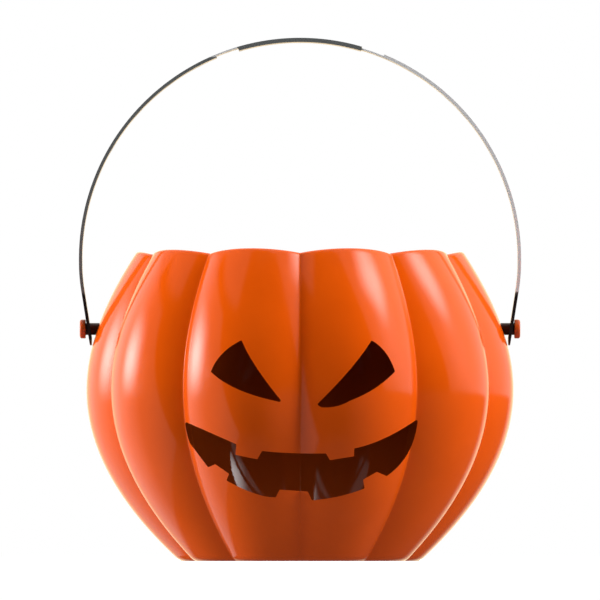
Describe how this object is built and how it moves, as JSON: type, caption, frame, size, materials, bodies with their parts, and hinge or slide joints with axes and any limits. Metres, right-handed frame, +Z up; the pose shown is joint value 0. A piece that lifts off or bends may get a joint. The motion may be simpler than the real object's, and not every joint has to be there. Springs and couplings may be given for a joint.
{
  "type": "pumpkin candy pail",
  "caption": "Round lobed pumpkin-shaped pail, open at the top, with a carved jack-o'-lantern face cut through its front wall and a flat strap bail that swings on two side studs.",
  "frame": {"origin": "centre of the pail's base, on the surface that it stands on", "axes": "+Z up, +X to the right as the face is seen, the face looks towards -Y"},
  "size_m": [0.221, 0.2069, 0.2615],
  "materials": {
    "orange_shell": "glossy moulded orange plastic",
    "black_strap": "glossy moulded black plastic",
    "orange_stud": "satin moulded orange plastic"
  },
  "bodies": {
    "pail": {"pumpkin_shell": "orange_shell", "left_stud": "orange_stud", "right_stud": "orange_stud", "left_retainer": "orange_stud", "right_retainer": "orange_stud"},
    "handle": {"handle_strap": "black_strap"}
  },
  "joints": [
    {"name": "handle_swing", "type": "hinge", "parent": "pail", "child": "handle", "pos_m": [0, 0, 0.116], "axis": [1, 0, 0], "range_deg": [-140, 140]}
  ]
}
